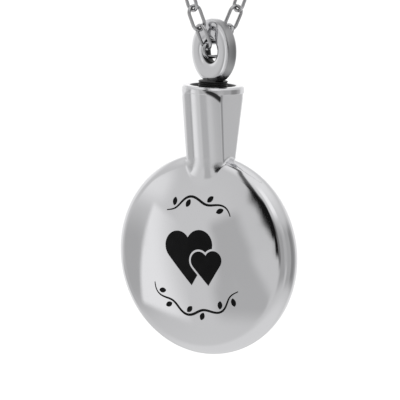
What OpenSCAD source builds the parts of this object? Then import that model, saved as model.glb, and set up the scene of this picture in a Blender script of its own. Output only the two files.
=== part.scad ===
/* [Disc] */
// Diameter of the round vessel, seen from the front
disc_d = 22; // [16:0.5:30]
// Thickness of the vessel at its centre, front to back
disc_t = 6; // [5:0.1:9]
// Radius of the rounded rim that joins the two domes
rim_r = 1.7; // [1.2:0.1:2.2]
// Thickness of the vessel's metal
wall = 0.8; // [0.5:0.1:1.2]

/* [Neck] */
// Height of the neck's mouth above the disc's centre
neck_top = 18.5; // [16:0.5:24]
// Diameter of the neck at its mouth
neck_top_d = 6.8; // [6.6:0.1:9]
// Depth of the neck where it meets the disc, front to back
neck_base_t = 4.2; // [4:0.1:5.6]
// How much larger the radius of the neck's arched front and back is than its mouth's
face_more = 0.6; // [0.3:0.1:3]
// Distance below the mouth at which the arched front and back start
face_start = 0.3; // [0.1:0.05:1]
// Width across the two ground flats, just under the lip
flat_top_w = 5; // [4.8:0.1:6.2]
// Width across the two ground flats, where the neck meets the disc
flat_base_w = 4.74; // [4.4:0.02:5.2]
// Height of the full round lip above the flats
lip_h = 0.75; // [0.5:0.05:1.5]
// Radius of the lip's outer edge
lip_round = 0.35; // [0.1:0.05:0.45]
// Width of the bevel inside the lip
mouth_bevel = 0.4; // [0.1:0.05:0.5]

/* [Bore] */
// Diameter of the recess that the stopper's head sits in
mouth_d = 4.3; // [4:0.1:4.5]
// Depth of that recess below the neck's mouth
mouth_depth = 1.5; // [1.1:0.1:2.5]
// Diameter of the threaded bore
bore_d = 3.6; // [3:0.1:3.9]
// Diameter of the filling passage between bore and hollow
passage_d = 2.4; // [1.6:0.1:2.8]

/* [Stopper] */
// Radial running clearance of the stopper in its bore and recess
stopper_gap = 0.05; // [0.02:0.01:0.1]
// Thickness of the stopper's head
head_t = 0.9; // [0.5:0.1:1]
// Length of the threaded shank below the head
shank_len = 4.8; // [3:0.2:6]
// Pitch of the thread's grooves
thread_pitch = 0.6; // [0.4:0.1:1]
// Depth of the thread's grooves
thread_depth = 0.25; // [0.1:0.05:0.4]
// Diameter of the stem between head and eye
stem_d = 3.2; // [1.4:0.1:3.4]
// How far the stem reaches past the eye's lowest point before it narrows
stem_more = 0.25; // [0.1:0.05:0.4]

/* [Eye] */
// Outer diameter of the ring eye
eye_od = 7; // [5.5:0.1:8]
// Diameter of the hole that the chain runs through
eye_hole_d = 2.4; // [2.4:0.1:3]
// Thickness of the ring eye along its hole
eye_t = 1.5; // [1:0.1:1.6]
// Radius of the ring eye's rounded edges
eye_round = 0.5; // [0.2:0.05:0.5]
// Height of the eye's lowest point above the neck's mouth
eye_rise = 0.2; // [0.1:0.05:2]
// Turn of the eye's hole away from the vessel's front, in degrees
eye_turn = 23; // [0:1:45]

/* [Engraving] */
// Depth of the engraved figures
engrave_depth = 0.15; // [0.05:0.01:0.3]
// Gap around and behind the black filling
fill_gap = 0.02; // [0.01:0.01:0.04]
// Width of the large heart
heart_w = 6; // [3:0.1:7]
// Height of the large heart
heart_h = 6; // [3:0.1:7]
// Size of the small heart, as a share of the large one
heart_small = 0.63; // [0.4:0.01:0.8]
// Bright line left between the two hearts
heart_line = 0.22; // [0.15:0.01:0.4]
// Width of the vines' stem
vine_w = 0.28; // [0.2:0.01:0.4]
// Distance of the vines from the middle of the hearts
vine_r = 6.2; // [5.6:0.1:7]
// Size of the vines' leaves, stem to tip
leaf_l = 0.95; // [0.5:0.05:1.2]

/* [Chain] */
// Outer length of one link
link_l = 3.1; // [2.8:0.05:3.6]
// Outer width of one link
link_w = 1.9; // [1.7:0.05:2]
// Thickness of the links' wire
wire_d = 0.38; // [0.3:0.01:0.42]
// Free gap between neighbouring links, and between link and eye
link_gap = 0.12; // [0.11:0.01:0.2]

/* [Clasp] */
// Length of the clasp's barrel
clasp_l = 7; // [5:0.5:12]
// Diameter of the clasp's barrel
clasp_d = 2.6; // [2:0.1:4]
// Wire of the clasp's two end rings
clasp_wire = 0.5; // [0.4:0.05:0.6]

/* [Worn place] */
// Distance of the pendant in front of the nape
chest_out = 114; // [100:1:130]
// Distance of the eye below the nape
chest_drop = 145.5; // [142:0.5:156]

/* [Hidden] */
$fn = 48;
// A cutting body runs this far past what it cuts
past = 1;
// Turn of the bores, so that where their round walls start isn't in the disc's middle plane
bore_turn = 37;

// Dome arc: a circle about a point on the disc's axis that meets the rim's circle smoothly
rim_at = disc_d / 2 - rim_r;
dome_r = (pow(rim_at, 2) + pow(disc_t / 2, 2) - pow(rim_r, 2)) / (disc_t - 2 * rim_r);
dome_c = disc_t / 2 - dome_r;
dome_span = asin(rim_at / (dome_r - rim_r));

// Heights on the neck, above the disc's centre
neck_sink = 0.5;
neck_base = disc_d / 2 - neck_sink;
neck_foot = rim_at / 2;
lip_z = neck_top - lip_h;
seat_z = neck_top - mouth_depth;
shank_end = seat_z - shank_len;
bore_end = shank_end - thread_pitch;
passage_low = rim_at - passage_d;
eye_low = neck_top + eye_rise;
eye_z = eye_low + eye_od / 2;

// Directions of the eye's hole and of its width
hole_dir = [-sin(eye_turn), -cos(eye_turn), 0];
width_dir = [cos(eye_turn), -sin(eye_turn), 0];
up = [0, 0, 1];
eye_at = [0, -chest_out, -chest_drop];
disc_at = eye_at - eye_z * up;

// Chain: distance between two joints, straight length of a link's side and radius of its ends
pitch = link_l - 2 * wire_d - link_gap;
side_l = link_l - link_w;
end_r = (link_w - wire_d) / 2;
joint_in = (link_l - wire_d - pitch) / 2;

// The link in the eye stands upright and hangs just under the top of the hole
first_at = eye_at + (eye_hole_d / 2 - link_gap - link_w / 2) * up;
hook_r = end_r - wire_d - link_gap;
hook_rise = 30;

// The strand's way out of the eye: along the hole, across it and up, from the eye's centre
lead_out = [[2.7, 0.9, 5.6]];

// The worn way of one strand, from the chest over the shoulder to the middle of the nape
worn_way = [[6, -114, -125], [14, -112.5, -101], [23, -107, -79], [33, -98, -57.5],
            [43.5, -84.5, -39], [52, -66.5, -24.5], [55.5, -46.5, -13.5], [51.5, -26.5, -6],
            [38.5, -10.5, -1.8], [20.5, -1.2, -0.2], [0, 1.3, 0]];

function unit(v) = v / norm(v);

// Points on an arc of radius r about a centre, from one angle to another in n steps
function arc(centre, r, from, to, n) =
    [for (i = [0:n]) let (a = from + (to - from) * i / n) centre + r * [cos(a), sin(a)]];

// Half section of the disc as radius and depth, shrunk by an inset all over
function disc_section(inset) = let (front = arc([0, dome_c], dome_r - inset, 90, 90 - dome_span, 10),
    rim = arc([rim_at, 0], rim_r - inset, 90 - dome_span, 0, 8))
    concat([[0, 0]], front, [for (i = [1:8]) rim[i]]);

// Outline of a heart with its middle at the origin, grown by g all round
function heart_outline(w, h, g) =
    let (r = 0.27 * w, c = w / 2 - r, tip = h - r,
         d = norm([c, tip]),
         lean = atan2(tip, c) - asin(r / d),
         low = -tip - g / cos(lean),
         dip = acos(c / (r + g)),
         lift = h / 2 - r,
         right = arc([c, lift], r + g, lean - 90, 180 - dip, 16))
    concat([[0, low + lift]], right, [for (i = [15:-1:0]) [-right[i][0], right[i][1]]]);

// Middle line of a vine at share s: an arc about the hearts that waves in and out
vine_sway = 0.36;
function vine_point(s, from, to, waves) = let (a = from + (to - from) * s)
    (vine_r + vine_sway * sin(360 * waves * s)) * [cos(a), sin(a)];

// Outline of a vine: its middle line, thickened to both sides and pointed at the ends
function vine_outline(from, to, waves, g) =
    let (n = 16 * waves,
         side = [for (k = [1, -1]) [for (i = [0:n]) let (s = i / n,
             t = unit(vine_point(s + 0.001, from, to, waves) - vine_point(s - 0.001, from, to, waves)),
             half = vine_w * (0.2 + 0.3 * sin(180 * s)) + g)
             vine_point(s, from, to, waves) + k * half * [-t[1], t[0]]]])
    concat(side[0], [for (i = [n:-1:0]) side[1][i]]);

// Chain route: a smooth curve through a few points, measured by the straight distances between them
function knots(p) = [for (i = 0, s = 0; i < len(p); s = s + (i + 1 < len(p) ? norm(p[i + 1] - p[i]) : 0),
    i = i + 1) s];
function slopes(p, t) = [for (i = [0:len(p) - 1])
    i == 0 ? (p[1] - p[0]) / t[1] :
    i == len(p) - 1 ? (p[i] - p[i - 1]) / (t[i] - t[i - 1]) :
    let (a = t[i] - t[i - 1], b = t[i + 1] - t[i])
    ((p[i + 1] - p[i]) / b * a + (p[i] - p[i - 1]) / a * b) / (a + b)];
function span(t, at, i = 0) = (i >= len(t) - 2 || at < t[i + 1]) ? i : span(t, at, i + 1);
function on_route(r, at) = let (i = span(r[1], at), h = r[1][i + 1] - r[1][i], u = (at - r[1][i]) / h)
    (2 * u * u * u - 3 * u * u + 1) * r[0][i] + (u * u * u - 2 * u * u + u) * h * r[2][i]
    + (3 * u * u - 2 * u * u * u) * r[0][i + 1] + (u * u * u - u * u) * h * r[2][i + 1];
function next_on(r, at, from, guess, tries) = tries == 0 ? guess :
    next_on(r, at, from, guess + pitch - norm(on_route(r, guess) - from), tries - 1);

// Route of one strand as points, knots and slopes: side 1 is the wearer's front right, -1 the left
function route(side) = let (
    hook = first_at - side * (side_l / 2 + hook_r * cos(hook_rise)) * hole_dir + hook_r * sin(hook_rise) * up,
    lead = [for (q = lead_out) eye_at - side * q[0] * hole_dir + side * q[1] * width_dir + q[2] * up],
    p = concat([hook + joint_in * unit(lead[0] - hook)], lead,
               [for (q = worn_way) [side * q[0], q[1], q[2]]]),
    t = knots(p)) [p, t, slopes(p, t)];

// Joints of a strand, one pitch apart, up to the clasp
function joints(r) = let (stop = r[1][len(r[1]) - 1] - clasp_reach)
    [for (at = 0, j = r[0][0]; at <= stop; at = next_on(r, at, j, at + pitch, 5), j = on_route(r, at)) j];

// Side direction of each link: it is carried along without twist and turned a quarter every link
function carried(j, start) = [for (i = 0, d = unit(j[1] - j[0]), v = unit(start - (start * d) * d);
    i < len(j) - 1;
    i = i + 1, d = i < len(j) - 1 ? unit(j[i + 1] - j[i]) : d, v = unit(v - (v * d) * d)) v];

// The clasp: its end rings, and how far it reaches from the middle of the nape
clasp_ring_r = wire_d + link_gap + clasp_wire / 2 + wire_d / 2 + link_gap;
clasp_reach = clasp_l / 2 + 2 * clasp_ring_r;

left_joints = joints(route(-1));
right_joints = joints(route(1));
left_sides = carried(left_joints, hole_dir);
right_sides = carried(right_joints, -hole_dir);
left_end = left_joints[len(left_joints) - 1];
right_end = right_joints[len(right_joints) - 1];
clasp_at = (left_end + right_end) / 2;
clasp_dir = unit(right_end - left_end);

function side_of(j, v, i) = let (d = unit(j[i + 1] - j[i])) i % 2 == 0 ? cross(d, v[i]) : v[i];

// Puts children with their X along d and their Y along s, at a point
module oriented(at, d, s) {
    y = unit(s - (s * d) * d);
    z = cross(d, y);
    multmatrix([[d[0], y[0], z[0], at[0]], [d[1], y[1], z[1], at[1]], [d[2], y[2], z[2], at[2]]])
        children();
}

// Puts children drawn about the disc's centre at the pendant's worn place
module at_disc() {
    translate(disc_at) children();
}

// The disc's outer form, shrunk by an inset all over
module disc_form(inset) {
    half = disc_section(inset);
    back = [for (i = [len(half) - 2:-1:1]) [half[i][0], -half[i][1]]];
    rotate([90, 0, 0])
        rotate_extrude()
            polygon(concat([for (i = [1:len(half) - 1]) half[i]], back));
}

// The hollow inside: the disc's own form, one wall further in
module hollow() {
    disc_form(wall);
}

// The neck's round bar with its full round lip
module neck_bar() {
    top_r = neck_top_d / 2;
    rotate_extrude()
        polygon(concat([[0, neck_foot], [top_r, neck_foot]],
                       arc([top_r - lip_round, neck_top - lip_round], lip_round, 0, 90, 5),
                       [[0, neck_top]]));
}

// A wider bar whose front line leans in from just under the mouth to the disc: the neck's arched front
module face_bar() {
    face_r = neck_top_d / 2 + face_more;
    start = neck_top - face_start;
    lean = atan((neck_top_d - neck_base_t) / 2 / (start - neck_base));
    translate([0, -neck_top_d / 2, start])
        rotate([lean, 0, 0])
            translate([0, face_r, 0])
                cylinder(r = face_r, h = 2 * neck_top, center = true);
}

// What is ground away from the neck's side to leave a flat
module flat_cut() {
    draft = (flat_top_w - flat_base_w) / 2 / (lip_z - neck_base);
    low = neck_foot - past;
    rotate([90, 0, 0])
        linear_extrude(height = neck_top_d + 2 * past, center = true)
            polygon([[flat_base_w / 2 - draft * (neck_base - low), low], [flat_top_w / 2, lip_z],
                     [neck_top_d, lip_z], [neck_top_d, low]]);
}

// The neck: round at its mouth, with two flats at its sides and an arched front and back
module neck() {
    difference() {
        intersection() {
            neck_bar();
            face_bar();
            mirror([0, 1, 0]) face_bar();
        }
        flat_cut();
        mirror([1, 0, 0]) flat_cut();
    }
}

// The way in: bevelled mouth, recess, threaded bore and filling passage
module way_in() {
    bevel_top = mouth_d / 2 + mouth_bevel;
    translate([0, 0, seat_z])
        cylinder(d = mouth_d, h = mouth_depth + past);
    translate([0, 0, neck_top - mouth_bevel])
        cylinder(r1 = mouth_d / 2, r2 = bevel_top + past, h = mouth_bevel + past);
    translate([0, 0, bore_end])
        cylinder(d = bore_d, h = seat_z - bore_end + past);
    translate([0, 0, passage_low])
        cylinder(d = passage_d, h = bore_end - passage_low + past);
}

// A prism through the front dome over a flat figure
module through_front() {
    rotate([90, 0, 0])
        linear_extrude(height = disc_t)
            children();
}

// The hearts' places and lean, and the middle of the vines' arcs
heart_at = [-0.6, -0.15];
heart_turn = 7;
small_w = heart_small * heart_w;
small_h = heart_small * heart_h;
small_at = heart_at + [0.37 * heart_w, -0.16 * heart_h];
figure_at = [0.1, 0];

module large_figure(g) {
    difference() {
        translate(heart_at) rotate(heart_turn) polygon(heart_outline(heart_w, heart_h, g));
        translate(small_at) rotate(heart_turn) polygon(heart_outline(small_w, small_h, heart_line - g));
    }
}

module small_figure(g) {
    translate(small_at) rotate(heart_turn) polygon(heart_outline(small_w, small_h, g));
}

// The leaves' width as a share of their length, their lean and their distance from the stem
leaf_plump = 0.6;
leaf_lean = 35;
leaf_off = 0.16;

// A leaf beside the vine: a pointed shape between two arcs
module leaf(at, turn, g) {
    half = leaf_plump * leaf_l / 2;
    big = (pow(leaf_l / 2, 2) + pow(half, 2)) / (2 * half);
    reach = asin(leaf_l / 2 / big);
    translate(at) rotate(turn)
        polygon(concat(arc([leaf_l / 2, half - big], big + g, 90 + reach, 90 - reach, 8),
                       arc([leaf_l / 2, big - half], big + g, 270 + reach, 270 - reach, 8)));
}

// A vine with a leaf at the outside of each wave and the inside of the next
module vine_figure(from, to, waves, g) {
    translate(figure_at) {
        polygon(vine_outline(from, to, waves, g));
        for (k = [0:2 * waves - 1]) {
            s = (k + 0.5) / (2 * waves);
            away = k % 2 == 0 ? -1 : 1;
            a = from + (to - from) * s;
            out = vine_point(s, from, to, waves);
            start = out + away * (vine_w / 2 + leaf_off) * [cos(a), sin(a)];
            leaf(start, a + (away > 0 ? 0 : 180) - leaf_lean, g);
        }
    }
}

module upper_figure(g) {
    vine_figure(50, 130, 2, g);
}

module lower_figure(g) {
    vine_figure(212, 328, 3, g);
}

// The engraved recesses, cut from the front dome
module engraving() {
    difference() {
        through_front() {
            large_figure(fill_gap);
            small_figure(fill_gap);
            upper_figure(fill_gap);
            lower_figure(fill_gap);
        }
        disc_form(engrave_depth);
    }
}

// The black filling of one engraved figure
module filling() {
    difference() {
        intersection() {
            through_front() children();
            disc_form(fill_gap);
        }
        disc_form(engrave_depth - fill_gap);
    }
}

module urn_body() {
    color("silver")
        at_disc()
            difference() {
                union() {
                    disc_form(0);
                    neck();
                }
                hollow();
                rotate(bore_turn) way_in();
                engraving();
            }
}

// The shank's thread as a row of grooves
module shank() {
    r = bore_d / 2 - stopper_gap;
    turns = floor(shank_len / thread_pitch);
    low = seat_z - turns * thread_pitch;
    flank = 0.35 * thread_pitch;
    teeth = [for (i = [0:turns - 1]) each [[r - thread_depth, low + i * thread_pitch],
                                           [r, low + i * thread_pitch + flank],
                                           [r, low + (i + 1) * thread_pitch - flank]]];
    rotate_extrude()
        polygon(concat([[0, low]], teeth, [[r - thread_depth, seat_z + head_t / 2], [0, seat_z + head_t / 2]]));
}

// The stem from the head up past the ring's lowest point; in the ring it narrows to the ring's thickness
module stem() {
    low = seat_z + head_t / 2;
    shoulder = eye_low + stem_more;
    inside = eye_low + (eye_od - eye_hole_d) / 4;
    rotate_extrude()
        polygon([[0, low], [stem_d / 2, low], [stem_d / 2, shoulder], [eye_t / 2, inside], [0, inside]]);
}

// The ring eye's half section, rounded at all four edges
function eye_section() = let (a = eye_hole_d / 2, b = eye_od / 2, h = eye_t / 2, e = eye_round)
    concat(arc([b - e, h - e], e, 0, 90, 5), arc([a + e, h - e], e, 90, 180, 5),
           arc([a + e, e - h], e, 180, 270, 5), arc([b - e, e - h], e, 270, 360, 5));

module stopper_eye() {
    head_d = mouth_d - 2 * stopper_gap;
    head_z = seat_z + stopper_gap;
    color("gainsboro")
        at_disc()
            union() {
                shank();
                translate([0, 0, head_z])
                    cylinder(d = head_d, h = head_t);
                stem();
                translate([0, 0, eye_z])
                    rotate([90, 0, -eye_turn])
                        rotate_extrude()
                            polygon(eye_section());
            }
}

module heart_large_fill() {
    color("black") at_disc() filling() large_figure(0);
}

module heart_small_fill() {
    color("black") at_disc() filling() small_figure(0);
}

module vine_upper_fill() {
    color("black") at_disc() filling() upper_figure(0);
}

module vine_lower_fill() {
    color("black") at_disc() filling() lower_figure(0);
}

// One chain link: two straight sides along X and two half-round ends
module link() {
    for (k = [0, 180])
        rotate(k) {
            translate([side_l / 2, 0, 0])
                rotate(-90)
                    rotate_extrude(angle = 180)
                        translate([end_r, 0]) circle(d = wire_d);
            translate([0, end_r, 0])
                rotate([0, 90, 0])
                    cylinder(d = wire_d, h = side_l, center = true);
        }
}

// One strand of links between its joints
module strand(j, v) {
    for (i = [0:len(j) - 2])
        oriented((j[i] + j[i + 1]) / 2, unit(j[i + 1] - j[i]), side_of(j, v, i))
            link();
}

module chain_left() {
    color("lightgray") {
        oriented(first_at, hole_dir, up) link();
        strand(left_joints, left_sides);
    }
}

module chain_right() {
    color("lightgray")
        strand(right_joints, right_sides);
}

// An end ring of the clasp on its post, square to the last link that it holds
module clasp_ring(end, j, v) {
    out = unit(end - clasp_at);
    far = norm(end - clasp_at) + (link_gap + clasp_wire) / 2;
    last = side_of(j, v, len(j) - 2);
    oriented(clasp_at + (far - clasp_ring_r) * out, out, cross(out, last))
        rotate_extrude()
            translate([clasp_ring_r, 0]) circle(d = clasp_wire);
    oriented(clasp_at, out, last)
        rotate([0, 90, 0])
            cylinder(d = 2 * clasp_wire, h = far - 2 * clasp_ring_r);
}

module clasp() {
    edge = clasp_d / 4;
    color("lightgray")
        union() {
            oriented(clasp_at, clasp_dir, up)
                rotate([0, 90, 0])
                    rotate_extrude()
                        polygon([[0, -clasp_l / 2], [clasp_d / 2 - edge, -clasp_l / 2],
                                 [clasp_d / 2, edge - clasp_l / 2], [clasp_d / 2, clasp_l / 2 - edge],
                                 [clasp_d / 2 - edge, clasp_l / 2], [0, clasp_l / 2]]);
            clasp_ring(left_end, left_joints, left_sides);
            clasp_ring(right_end, right_joints, right_sides);
        }
}

urn_body();
stopper_eye();
heart_large_fill();
heart_small_fill();
vine_upper_fill();
vine_lower_fill();
chain_left();
chain_right();
clasp();
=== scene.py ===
"""Keepsake urn pendant on a cable chain: its surfaces, its finishes and the studio round it.

The classes hold lengths in millimetres, measured from the vessel's own centre, with +X to the wearer's left,
-Y to the front and +Z up. A finished piece's mesh is in metres in the shared frame, and its object is at the origin.
"""

import logging
import math
from dataclasses import dataclass, field, replace
from enum import Enum
from typing import Callable, Sequence

import bpy
import numpy as np
from mathutils import Matrix, Vector


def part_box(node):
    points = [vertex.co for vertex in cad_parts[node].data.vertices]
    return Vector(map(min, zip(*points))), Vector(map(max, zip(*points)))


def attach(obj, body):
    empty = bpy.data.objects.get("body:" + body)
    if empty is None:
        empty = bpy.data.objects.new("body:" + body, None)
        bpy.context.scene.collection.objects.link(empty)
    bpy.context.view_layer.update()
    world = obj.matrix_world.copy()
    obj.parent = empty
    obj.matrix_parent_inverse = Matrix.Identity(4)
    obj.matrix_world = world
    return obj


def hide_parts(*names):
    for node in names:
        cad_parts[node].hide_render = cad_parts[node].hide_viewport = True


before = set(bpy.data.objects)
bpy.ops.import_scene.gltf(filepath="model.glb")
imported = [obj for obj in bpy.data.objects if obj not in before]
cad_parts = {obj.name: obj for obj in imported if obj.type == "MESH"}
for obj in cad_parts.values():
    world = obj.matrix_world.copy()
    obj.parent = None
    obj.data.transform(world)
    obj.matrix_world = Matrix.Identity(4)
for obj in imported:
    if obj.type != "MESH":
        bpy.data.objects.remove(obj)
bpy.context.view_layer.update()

LOG = logging.getLogger("pendant")
# Metres in a millimetre.
MM = 0.001
# How often an interval is halved when a surface is sought in it.
HALVINGS = 44
# How far along its ray a contour's point is sought, as a share of the ray's reach.
FARTHEST = 1.8
# The noise values between which a pattern goes from its least to its most.
NOISE_SPAN = (0.3, 0.7)


class Body(Enum):
    """The rigid bodies that pieces ride on."""

    CHAIN = "chain"
    STOPPER = "stopper"
    URN = "urn"


class Slot(Enum):
    """The record's material slots."""

    STEEL = "polished_steel"
    CHAIN = "chain_steel"
    ENAMEL = "black_enamel"


class Strand(Enum):
    """The chain's two strands, by their nodes."""

    LEFT = "chain_left"
    RIGHT = "chain_right"


@dataclass
class Surface:
    """Points and faces of one or more closed skins.

    Attributes:
        points: Corner positions, n by 3, in millimetres, or in metres for the studio's set.
        quads: Corner numbers of the four-sided faces, m by 4.
        triangles: Corner numbers of the three-sided faces, k by 3.
        polish_and_shade: How far each corner's metal is polished, from 0 for as machined to 1 for a mirror; a low
            polish also paints shade into the colour.
    """

    points: np.ndarray
    quads: np.ndarray
    triangles: np.ndarray
    polish_and_shade: np.ndarray

    def volume(self) -> float:
        """Adds up the volumes of the pyramids from the origin to each face: a . (b x c) / 6 for corners a, b, c.

        Returns:
            The volume, which is below nought if the faces point inwards.
        """
        halves = [self.quads[:, [0, 1, 2]], self.quads[:, [0, 2, 3]], self.triangles]
        corners = self.points[np.concatenate(halves)]
        return float(np.einsum("ij,ij->i", corners[:, 0], np.cross(corners[:, 1], corners[:, 2])).sum() / 6)

    def facing_out(self) -> "Surface":
        """The same skin with its faces turned so that they point out of the metal."""
        turned = replace(self, quads=self.quads[:, ::-1], triangles=self.triangles[:, ::-1])
        return self if self.volume() >= 0 else turned

    def moved(self, way: Sequence[float]) -> "Surface":
        """The same skin moved by a vector."""
        return replace(self, points=self.points + np.asarray(way))


def loft(rings: np.ndarray, ring_closed: bool = False, polish_and_shade: np.ndarray | None = None) -> Surface:
    """Skins a stack of closed contours.

    Row i, column j of the grid is joined to row i + 1 and to column j + 1, and the columns run round. Unless the
    stack closes on itself, each end gets one more point, the mean of its contour, with a fan of triangles to it.

    Args:
        rings: Contours as rows by columns by 3.
        ring_closed: Whether the last contour joins the first one, as on a torus.
        polish_and_shade: How far each contour or corner is polished, rows by 1 or by columns, if it isn't 1 all over.

    Returns:
        The closed surface, facing out.
    """
    rows, columns = rings.shape[:2]
    number = np.arange(rows * columns).reshape(rows, columns)
    below = number if ring_closed else number[:-1]
    above = np.roll(number, -1, axis=0) if ring_closed else number[1:]
    quads = np.stack([below, np.roll(below, -1, axis=1), np.roll(above, -1, axis=1), above], axis=-1).reshape(-1, 4)
    shine = np.broadcast_to(1.0 if polish_and_shade is None else polish_and_shade, (rows, columns))
    if ring_closed:
        return Surface(rings.reshape(-1, 3), quads, np.zeros((0, 3), int), shine.ravel()).facing_out()
    points = np.concatenate([rings.reshape(-1, 3), rings[[0, -1]].mean(axis=1)])
    fans = [np.stack([np.roll(number[row], turn), number[row], np.full(columns, rows * columns + pole)], axis=-1)
            for pole, (row, turn) in enumerate(((0, -1), (-1, 1)))]
    return Surface(points, quads, np.concatenate(fans), np.append(shine, shine[[0, -1], 0])).facing_out()


def joined(parts: Sequence[Surface]) -> Surface:
    """Puts several skins into one surface.

    Args:
        parts: The skins.

    Returns:
        The surface, with each skin's corner numbers counted on from the ones before it.
    """
    starts = np.cumsum([0] + [len(p.points) for p in parts[:-1]])
    return Surface(
        np.concatenate([p.points for p in parts]),
        np.concatenate([p.quads + s for p, s in zip(parts, starts)]),
        np.concatenate([p.triangles + s for p, s in zip(parts, starts)]),
        np.concatenate([p.polish_and_shade for p in parts]),
    )


def full_turn(count: int) -> np.ndarray:
    """Evenly spaced angles all the way round: 2 * pi * i / count, in radians."""
    return np.arange(count) / count * 2 * math.pi


def ramp(value: np.ndarray, start: float, end: float) -> np.ndarray:
    """Straight rise from 0 where the value is at start to 1 where it is at end, and level outside them."""
    return np.clip((value - start) / (end - start), 0, 1)


def last_inside(test: Callable, low: np.ndarray, high: np.ndarray) -> np.ndarray:
    """Finds where a surface cuts each of many intervals, by halving them again and again.

    Args:
        test: Tells for a value in each interval whether it lies inside the form.
        low: The intervals' ends inside the form.
        high: The intervals' other ends.

    Returns:
        The greatest value found inside, for each interval.
    """
    for _ in range(HALVINGS):
        middle = (low + high) / 2
        inside = test(middle)
        low, high = np.where(inside, middle, low), np.where(inside, high, middle)
    return low


def blended(a: np.ndarray, b: np.ndarray, reach: float) -> np.ndarray:
    """Smooth least of two distances: min(a, b) less h * h * reach / 4, where h is 1 - |a - b| / reach, from 0."""
    h = np.maximum(reach - np.abs(a - b), 0) / reach
    return np.minimum(a, b) - h * h * reach / 4


def arc_points(centre: tuple[float, float], radius: float, start: float, end: float, steps: int) -> np.ndarray:
    """Points on an arc: centre + radius * (cos a, sin a) for angles from start to end, in degrees."""
    a = np.radians(np.linspace(start, end, steps))
    return np.array(centre) + radius * np.stack([np.cos(a), np.sin(a)], axis=-1)


def lathe(profile: np.ndarray, u: np.ndarray) -> np.ndarray:
    """Contours of a turned form: each profile point (r, z) becomes the circle (r cos u, r sin u, z)."""
    r, z = profile[:, :1], profile[:, 1:]
    return np.stack([r * np.cos(u), r * np.sin(u), z + 0 * u], axis=-1)


def mesh_corners(node: bpy.types.Object) -> tuple[np.ndarray, np.ndarray]:
    """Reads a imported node's triangles.

    Args:
        node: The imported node.

    Returns:
        Its distinct points in millimetres, n by 3, and each triangle's three point numbers.
    """
    mesh = node.data
    co = np.zeros(len(mesh.vertices) * 3)
    mesh.vertices.foreach_get("co", co)
    corners = np.zeros(len(mesh.loops), int)
    mesh.loops.foreach_get("vertex_index", corners)
    points, number = np.unique(np.round(co.reshape(-1, 3) / MM, 5), axis=0, return_inverse=True)
    return points, number.ravel()[corners].reshape(-1, 3)


def surface_axes(corners: np.ndarray) -> tuple[np.ndarray, np.ndarray]:
    """Middle and principal directions of a surface, with each triangle weighted by its area.

    Args:
        corners: The triangles' corners, n by 3 by 3.

    Returns:
        The surface's centroid, and its three directions from the longest spread to the shortest.
    """
    area = np.linalg.norm(np.cross(corners[:, 1] - corners[:, 0], corners[:, 2] - corners[:, 0]), axis=1) / 2
    centre = corners.mean(axis=1)
    middle = (centre * area[:, None]).sum(axis=0) / area.sum()
    arm = centre - middle
    return middle, np.linalg.eigh((arm * area[:, None]).T @ arm)[1][:, ::-1].T


def placed(name: str, data: bpy.types.ID) -> bpy.types.Object:
    """Puts a mesh or a camera into the scene, as an object at the origin.

    Args:
        name: The object's name.
        data: The mesh or camera.

    Returns:
        The new object.
    """
    made = bpy.data.objects.new(name, data)
    bpy.context.scene.collection.objects.link(made)
    return made


def skinned(name: str, surface: Surface, unit: float, finish: bpy.types.Material) -> bpy.types.Object:
    """Makes a smooth object of a surface.

    Args:
        name: The object's name.
        surface: Its skin.
        unit: The skin's unit of length, in metres.
        finish: Its material.

    Returns:
        The new object.
    """
    mesh = bpy.data.meshes.new(name)
    faces = surface.quads.tolist() + surface.triangles.tolist()
    mesh.from_pydata((surface.points * unit).tolist(), [], faces)
    mesh.polygons.foreach_set("use_smooth", np.ones(len(faces), bool))
    mesh.attributes.new("polish_and_shade", "FLOAT", "POINT").data.foreach_set("value", surface.polish_and_shade)
    mesh.materials.append(finish)
    mesh.update()
    return placed(name, mesh)


def piece(name: str, surface: Surface, finish: bpy.types.Material, body: Body,
          stands_for: Sequence[str] = ()) -> bpy.types.Object:
    """Makes a finished piece from a surface in millimetres of the shared frame.

    Args:
        name: The piece's name.
        surface: Its skin, in millimetres in the shared frame.
        finish: Its material.
        body: The body that it rides on.
        stands_for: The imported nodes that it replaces.

    Returns:
        The new object.
    """
    made = skinned(name, surface, MM, finish)
    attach(made, body.value)
    if stands_for:
        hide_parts(*stands_for)
    LOG.info("%s: %d faces, rides on %s", name, len(made.data.polygons), body.value)
    return made


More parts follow.
